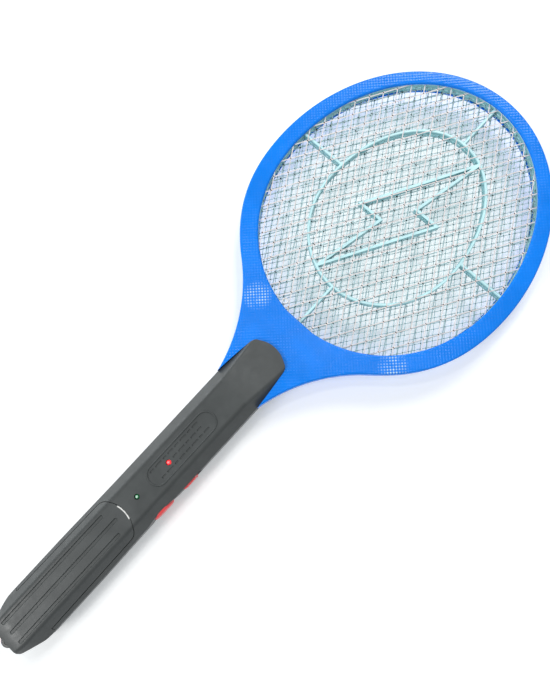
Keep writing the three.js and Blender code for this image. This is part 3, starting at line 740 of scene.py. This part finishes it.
def back_shell():
    shell = combine(copy(outer), "INTERSECT", half_space(False))
    cut(shell, copy(inner), neck_slot())
    bay = turned([(-1, BAY_RADIUS), (109.6, BAY_RADIUS)], "x", (0, 0, BAY_Z), 40)
    ribs = [block(x, x + 1.6, -9.4, 9.4, 1, 9) for x in (32, 84)]
    ribs.append(block(110.1, 111.8, -9.4, 9.4, 1, MID - PART_GAP))
    inside = join(*ribs)
    combine(inside, "INTERSECT", copy(outer))
    cut(inside, bay)
    bosses = [post(x, y, 3.4, 1.2, MID - PART_GAP) for x, y in HANDLE_SCREWS]
    loop = prism(slot_outline(-LOOP_REACH + 7, 0, 14, 9.2, 16), MID - 3.2, MID - 0.2)
    cut(loop, block(WALL, 30, -20, 20, 0, 20))
    join(shell, inside, *bosses, soften(loop, 0.7))
    recesses = [post(x, y, 2.5, -5, 8) for x, y in HANDLE_SCREWS]
    holes = [post(x, y, 1.5, -5, 30) for x, y in HANDLE_SCREWS]
    loop_hole = prism(slot_outline(-LOOP_REACH + 5.2, 0, 6.6, 5.4, 16), 0, 30)
    cut(shell, *recesses, *holes, *side_openings(), loop_hole)
    soften(shell, 0.3)
    return finish(shell, "back_shell", "handle", "handle_plastic", handle_look,
                  "handle_back_shell")


# ---- head ring -----------------------------------------------------------------------------------


def egg_point(shape, angle):
    """Where a ray from the middle of an egg outline meets it."""
    c, s = math.cos(angle), math.sin(angle)
    power = shape["blunt"] if c < 0 else 2
    reach = shape["butt"] if c < 0 else shape["tip"]
    low, high = 0.0, 200.0
    for _ in range(40):
        middle = (low + high) / 2
        inside = abs(middle * c / reach) ** power + (middle * s / shape["half"]) ** 2 < 1
        low, high = (middle, high) if inside else (low, middle)
    return (shape["x"] + low * c, low * s)


def screw_stations():
    track = offset(egg(OPENING, 360), 6.4)
    ring = [track[i] for a in (58, 94, 128) for i in (a, 360 - a)]
    return [(250, 24), (250, -24)] + ring


def head_half(front):
    """One half of the ring: rounded rim, flat face, chamfered mouth, lip and outer wall."""
    sign = 1 if front else -1
    half = HEAD_TOP - HEAD_MID
    outline = head_outline()
    mouth = [egg_point(OPENING, math.atan2(y, x - OPENING["x"])) for x, y in outline]
    bend = 1.3
    stations = [(outline, PART_GAP), (outline, half - bend)]
    for k in range(1, 5):
        t = math.pi / 2 * k / 4
        stations.append((offset(outline, -bend * (1 - math.cos(t))), half - bend * (1 - math.sin(t))))
    stations += [
        (offset(mouth, 1.3), half), (offset(mouth, 0.35), half - 0.45), (mouth, half - 1.0),
        (mouth, half - LIP), (offset(outline, -HEAD_WALL), half - LIP),
        (offset(outline, -HEAD_WALL), PART_GAP),
    ]
    rings = [[(x, y, HEAD_MID + sign * z) for x, y in points] for points, z in stations]
    ring = loft("head", rings, closed=True)
    if front:
        cut(ring, tongue_skirt(0.15))
    else:
        cut(ring, *[post(x, y, 2.35, -5, HEAD_LOW + 1.3) for x, y in screw_stations()],
            *[post(x, y, 1.2, -5, 10) for x, y in screw_stations()])
    name = "head_front" if front else "head_back"
    return finish(ring, name, "handle", "head_plastic", head_look, name + "_frame")


# ---- spacers and grilles -------------------------------------------------------------------------

RIB = 1.8
BOLT = [(59.2, -16.7), (-10.1, 23.3), (-10, 6.3), (-59.2, 16.7), (10.1, -23.3), (10, -6.3)]
BOLT_X = 357
SIDE_SPOKE_X = 358.5


def spacer(node, name):
    """Insulating spacer: outer ring, four spokes, oval and lightning bolt, tops slightly rounded."""
    low, high = (corner.z for corner in box_mm(node))
    height = high - low
    r = RIB / 2

    def rib(path, half=r, closed=False):
        section = [(-half, 0), (half, 0), (half, height - 0.4), (half - 0.4, height),
                   (-half + 0.4, height), (-half, height - 0.4)]
        return swept([(x, y, low) for x, y in path], section, closed)

    ring = rib(offset(egg(OPENING), 1.3), 0.9, True)
    oval = rib(egg(OVAL, 120), r, True)
    corners = [(BOLT_X + x, y) for x, y in BOLT]
    bolt = prism(offset(corners, r), low, high)
    combine(bolt, "INTERSECT", prism(egg(OVAL, 120), low - 1, high + 1))
    cut(bolt, prism(offset(corners, -r), low - 1, high + 1))
    soften(bolt, 0.35)
    spokes = [
        rib([(OVAL["x"] + OVAL["tip"], 0), (OPENING["x"] + OPENING["tip"] + 1, 0)]),
        rib([(OVAL["x"] - OVAL["butt"], 0), (OPENING["x"] - OPENING["butt"] - 1, 0)]),
        rib([(SIDE_SPOKE_X, OVAL["half"] - 0.4), (SIDE_SPOKE_X, OPENING["half"] + 1)]),
        rib([(SIDE_SPOKE_X, -OVAL["half"] + 0.4), (SIDE_SPOKE_X, -OPENING["half"] - 1)]),
    ]
    join(ring, oval, bolt, *spokes)
    return finish(ring, name, "handle", "spacer_plastic", rib_look, node)


def expanded_sheet(node, name, pitch, strand, rise, thick, material, phase):
    """Expanded metal: slit and stretched sheet, every strand tilted, four strands to a bond."""
    low, high = (corner.z for corner in box_mm(node))
    middle = (low + high) / 2
    long_pitch, short_pitch = pitch
    slope = math.atan2(short_pitch, long_pitch)
    flat_long = long_pitch / 2 - strand / math.sin(slope) / 2
    flat_short = short_pitch / 2 - strand / math.cos(slope) / 2
    blunt = strand * 0.3
    hole = [(blunt, -flat_short), (flat_long, -blunt), (flat_long, blunt), (blunt, flat_short),
            (-blunt, flat_short), (-flat_long, blunt), (-flat_long, -blunt), (-blunt, -flat_short)]
    rim = 2.6
    verts, index, faces = [], {}, []

    def corner(column, row, k):
        key = (column, row, k)
        if key not in index:
            x, y = hole[k]
            index[key] = len(verts)
            verts.append((OPENING["x"] + phase[0] + column * long_pitch / 2 + x,
                          phase[1] + row * short_pitch / 2 + y,
                          middle + (rise if y < 0 else -rise)))
        return index[key]

    def held(x, y):
        dx, dy = x - OPENING["x"], y
        reach = OPENING["tip"] if dx > 0 else OPENING["butt"]
        return (dx / (reach + rim)) ** 2 + (dy / (OPENING["half"] + rim)) ** 2 < 1

    span_x, span_y = 220, 190
    columns = int(span_x / long_pitch) + 2
    rows = int(span_y / short_pitch) + 2
    for column in range(-columns, columns + 1):
        for row in range(-rows, rows + 1):
            if (column + row) % 2:
                continue
            x = OPENING["x"] + phase[0] + column * long_pitch / 2
            y = phase[1] + row * short_pitch / 2
            if held(x + long_pitch / 4, y + short_pitch / 4):
                faces.append((corner(column, row, 3), corner(column, row, 2),
                              corner(column + 1, row + 1, 7), corner(column + 1, row + 1, 6)))
            if held(x - long_pitch / 4, y + short_pitch / 4):
                faces.append((corner(column, row, 5), corner(column, row, 4),
                              corner(column - 1, row + 1, 1), corner(column - 1, row + 1, 0)))
            if held(x + long_pitch / 2, y):
                faces.append((corner(column, row, 1), corner(column + 1, row - 1, 3),
                              corner(column + 1, row - 1, 4), corner(column + 2, row, 6),
                              corner(column + 2, row, 5), corner(column + 1, row + 1, 7),
                              corner(column + 1, row + 1, 0), corner(column, row, 2)))
    mesh = bpy.data.meshes.new(name)
    mesh.from_pydata(verts, [], faces)
    sheet = bpy.data.objects.new(name, mesh)
    bpy.context.collection.objects.link(sheet)
    step = sheet.modifiers.new("thickness", "SOLIDIFY")
    step.thickness, step.offset = thick, 0
    evaluate(sheet)
    return finish(sheet, name, "handle", "grille_metal", material, node)


# ---- controls ------------------------------------------------------------------------------------


def push_button():
    low, high = box_mm("push_button")
    face = low.y
    rings = []
    for grow, y in ((0, FLANGE_Y), (0, face + 1.5), (-0.5, face + 0.8), (-1.6, face + 0.35),
                    (-3.4, face + 0.1), (-6.5, face)):
        outline = slot_outline(BUTTON_X, MID, 16.4 + grow, 13 + grow, 16)
        rings.append([(x, y, z) for x, z in outline])
    cap = loft("button", rings)
    flange = prism_y(slot_outline(BUTTON_X, MID, 19.8, 11.2, 16), FLANGE_Y - 1, FLANGE_Y)
    stem = block(BUTTON_X - 2, BUTTON_X + 2, -13.4, high.y, MID, MID + 4)
    join(cap, flange, stem)
    return finish(cap, "power_button", "push_button", "button_plastic", red_look, "push_button")


def slide_knob():
    low, high = box_mm("slide_switch_knob")
    z0, z1 = MID - 4.9, MID + 4.9
    knob = block(SLIDER_X - 5.5, SLIDER_X + 5.5, -17.4, FLANGE_Y, z0, z1)
    soften(knob, 0.5)
    ribs = []
    for k in range(-2, 3):
        x = SLIDER_X + 2 * k
        ribs.append(soften(block(x - 0.65, x + 0.65, low.y, -16.8, z0 + 0.1, z1 - 0.1), 0.3))
    plate = block(SLIDER_X - 10, SLIDER_X + 10.5, -13.4, -12.7, z0 - 0.5, z1 + 0.5)
    fork = [block(SLIDER_X + x, SLIDER_X + x + 1.2, -13, high.y, MID + 0.4, MID + 3.6)
            for x in (-2.5, 1.3)]
    join(knob, *ribs, plate, *fork)
    return finish(knob, "slide_knob_cap", "slide_knob", "button_plastic", red_look,
                  "slide_switch_knob")


# ---- small parts ---------------------------------------------------------------------------------


def lamp(node, name, slot, material):
    """Round LED: flange on the board side, straight barrel, domed tip."""
    low, high = box_mm(node)
    x, flange, r = (low.x + high.x) / 2, (high.x - low.x) / 2, 1.45
    profile = [(low.z, flange), (low.z + 1, flange), (low.z + 1, r)]
    profile += [(high.z - r * (1 - math.sin(t)), r * math.cos(t))
                for t in [math.pi / 2 * k / 8 for k in range(9)]]
    obj = turned(profile, "z", (x, 0, 0), 28)
    return finish(obj, name, "handle", slot, material, node)


def screw(node, name):
    """Pan-head self-tapping screw driven from the back: cross recess, ridged thread, point."""
    low, high = box_mm(node)
    x, y, head = (low.x + high.x) / 2, (low.y + high.y) / 2, (high.x - low.x) / 2
    shank = head * 0.46
    profile = [(low.z, head * 0.6), (low.z + 0.25, head * 0.88), (low.z + 0.7, head),
               (low.z + 1.2, head), (low.z + 1.3, shank)]
    z = low.z + 2
    while z < high.z - 1.6:
        profile += [(z, shank), (z + 0.25, shank * 1.2), (z + 0.5, shank)]
        z += 0.9
    profile.append((high.z, 0.15))
    obj = turned(profile, "z", (x, y, 0), 24)
    arms = [block(x - a, x + a, y - b, y + b, low.z - 1, low.z + 0.75)
            for a, b in ((head * 0.55, 0.24), (0.24, head * 0.55))]
    cut(obj, *arms)
    return finish(obj, name, "handle", "screw_steel", steel_look, node)


def cell(node, name):
    """AA cell: sleeve with rolled ends, recessed shoulder and terminal nub towards the head."""
    low, high = box_mm(node)
    r, axis = (high.y - low.y) / 2, (low.x, 0, (low.z + high.z) / 2)
    length = high.x - low.x
    profile = [(0, 5.4), (0.1, 6.0), (0.35, 6.8), (0.9, r), (length - 2.3, r),
               (length - 1.8, 6.8), (length - 1.7, 6.2), (length - 1.9, 5.9),
               (length - 1.9, 2.8), (length - 0.3, 2.75), (length, 2.4)]
    obj = turned(profile, "x", axis, 48)
    return finish(obj, name, "handle", "cell_sleeve", sleeve_look, node)


def spring():
    """Conical contact spring wound about the cell axis."""
    low, high = box_mm("battery_spring")
    wire, turns, steps = 0.4, 3.5, 140
    axis_y, axis_z = 0, (low.z + high.z) / 2
    rings = []
    for k in range(steps + 1):
        t = k / steps
        angle = 2 * math.pi * turns * t
        reach = (high.z - low.z) / 2 - wire - 1.6 * t
        out = Vector((0, math.cos(angle), math.sin(angle)))
        middle = Vector((low.x + wire + (high.x - low.x - 2 * wire) * t, axis_y, axis_z))
        middle += out * reach
        ring = []
        for i in range(10):
            a = 2 * math.pi * i / 10
            ring.append(middle + out * (wire * math.cos(a)) + Vector((wire * math.sin(a), 0, 0)))
        rings.append(ring)
    obj = loft("spring", rings)
    return finish(obj, "contact_spring", "handle", "contact_steel", contact_look, "battery_spring")


def eyelet():
    """Rolled rivet ring that ties the grille to its lead."""
    low, high = box_mm("grille_eyelet")
    x, y, outer_r = (low.x + high.x) / 2, (low.y + high.y) / 2, (high.x - low.x) / 2
    tall = high.z - low.z
    section = [(1.2, 0), (outer_r, 0), (outer_r, tall * 0.35), (outer_r - 0.2, tall * 0.8),
               (outer_r - 0.45, tall), (1.4, tall * 0.85), (1.2, tall * 0.5)]
    rings = []
    for i in range(32):
        a = 2 * math.pi * i / 32
        rings.append([(x + r * math.cos(a), y + r * math.sin(a), low.z + z) for r, z in section])
    obj = loft("eyelet", rings, closed=True)
    return finish(obj, "grille_rivet", "handle", "contact_steel", tin_look, "grille_eyelet")


def dress(material, *nodes, edge=0.25):
    """Keeps CAD nodes as they are, with rounded edges and a material."""
    for node in nodes:
        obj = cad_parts[node]
        obj.data.materials.clear()
        obj.data.materials.append(material)
        if edge:
            step = obj.modifiers.new("soften", "BEVEL")
            step.width, step.segments = edge * MM, 2
            step.limit_method, step.angle_limit = "ANGLE", math.radians(40)
            step.use_clamp_overlap = True


def electronics():
    black = dipped("component_black", (0.018, 0.018, 0.02), 0.35).material
    dress(laminate().material, "circuit_board")
    dress(dipped("ferrite", (0.03, 0.03, 0.034), 0.5).material, "transformer_core")
    dress(dipped("winding_tape", (0.72, 0.52, 0.08), 0.3).material, "transformer_winding", edge=0.5)
    dress(dipped("capacitor_epoxy", (0.30, 0.06, 0.02), 0.22).material,
          "hv_capacitor", "doubler_capacitor_1", "doubler_capacitor_2", edge=0.6)
    dress(black, "transistor", "diode_1", "diode_2", "diode_3", "tact_switch_body",
          "tact_switch_plunger", "slide_switch_actuator")
    dress(dipped("resistor_lacquer", (0.52, 0.36, 0.18), 0.35).material,
          "resistor_1", "resistor_2", "resistor_3")
    dress(contact_look, "slide_switch_body", "negative_contact", "positive_contact", edge=0.1)
    wires = {"wire_black": ((0.012, 0.012, 0.013), ["negative_lead"]),
             "wire_red": ((0.42, 0.02, 0.02), ["front_grille_lead", "back_grille_lead"]),
             "wire_white": ((0.72, 0.72, 0.68), ["middle_grille_lead"])}
    for name, (color, nodes) in wires.items():
        dress(dipped(name, color, 0.4).material, *nodes, edge=0)
        for node in nodes:
            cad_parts[node].data.shade_smooth()


# ---- build ---------------------------------------------------------------------------------------

front_shell()
cover()
back_shell()
for unused in (outer, inner):
    bpy.data.objects.remove(unused)
head_half(True)
head_half(False)
spacer("front_spacer", "front_ribs")
spacer("back_spacer", "back_ribs")
expanded_sheet("front_grille", "front_mesh", COARSE_PITCH, 0.95, 0.12, 0.35, coarse_look, (4.8, 1.6))
expanded_sheet("middle_grille", "middle_mesh", FINE_PITCH, 0.62, 0.14, 0.25, fine_look, (4.2, 0.4))
expanded_sheet("back_grille", "back_mesh", COARSE_PITCH, 1.15, 0.15, 0.35, back_look, (0.5, 4.5))
push_button()
slide_knob()
lamp("green_led", "green_lamp", "green_lens", green_lens_look)
lamp("red_led", "red_lamp", "red_lens", red_lens_look)
for count, part in ((4, "handle_screw"), (8, "head_screw")):
    for k in range(1, count + 1):
        screw(f"{part}_{k}", f"{part}_{k}_crosshead")
cell("battery_cell_1", "aa_cell_1")
cell("battery_cell_2", "aa_cell_2")
spring()
eyelet()
electronics()


# ---- stage, light and camera ---------------------------------------------------------------------


def at(x, y, z):
    return Vector((BUTT + x * MM, y * MM, z * MM))


def floor():
    size = 3.0
    mesh = bpy.data.meshes.new("floor")
    corners = [(-size, -size, 0), (size, -size, 0), (size, size, 0), (-size, size, 0)]
    mesh.from_pydata(corners, [], [(0, 1, 2, 3)])
    obj = bpy.data.objects.new("floor", mesh)
    bpy.context.collection.objects.link(obj)
    look = Look("floor", (0.93, 0.93, 0.93), 0.9, Emission_Strength=0.25,
                Emission_Color=(0.95, 0.98, 1, 1))
    look.paint(look.color(look.ramp(look.noise(60, 2), 0, 1), (0.925, 0.93, 0.93), (0.935, 0.935, 0.935)))
    mesh.materials.append(look.material)


def area_light(name, place, target, width, power, color=(1, 1, 1)):
    light = bpy.data.lights.new(name, "AREA")
    light.shape, light.size, light.energy, light.color = "DISK", width, power, color
    obj = bpy.data.objects.new(name, light)
    obj.location = place
    obj.rotation_euler = (target - place).to_track_quat("-Z", "Y").to_euler()
    bpy.context.collection.objects.link(obj)


def camera():
    place, target = at(224.2, -39.7, 352.9), at(242.2, 2.1, 21.5)
    heading = math.radians(42.7)
    forward = (target - place).normalized()
    level = Vector((math.cos(heading), math.sin(heading), 0))
    right = forward.cross(level).normalized()
    up = right.cross(forward)
    data = bpy.data.cameras.new("camera")
    data.lens, data.sensor_width, data.sensor_fit = 28.03, 36, "AUTO"
    data.clip_start, data.clip_end = 0.01, 20
    obj = bpy.data.objects.new("camera", data)
    axes = Matrix((right, up, -forward)).transposed()
    obj.matrix_world = Matrix.Translation(place) @ axes.to_4x4()
    bpy.context.collection.objects.link(obj)
    bpy.context.scene.camera = obj


def light_room():
    world = bpy.data.worlds.new("room")
    world.use_nodes = True
    background = world.node_tree.nodes["Background"]
    background.inputs["Color"].default_value = (0.92, 0.97, 1.0, 1)
    background.inputs["Strength"].default_value = 0.38
    bpy.context.scene.world = world
    middle = at(230, 0, 0)
    for name, place in (("softbox_butt", at(-900, 280, 930)), ("softbox_tip", at(1230, 350, 930))):
        area_light(name, place, middle, width=0.5, power=8, color=(1.0, 0.99, 0.98))
    area_light("window", at(150, 900, 300), middle, width=0.6, power=3.0, color=(0.93, 0.97, 1.0))
    for name, place in (("spark_left", at(314, 154, 600)), ("spark_right", at(377, -101, 600))):
        area_light(name, place, middle, width=0.04, power=0.3)


floor()
camera()
light_room()
scene = bpy.context.scene
scene.view_settings.view_transform = "Standard"
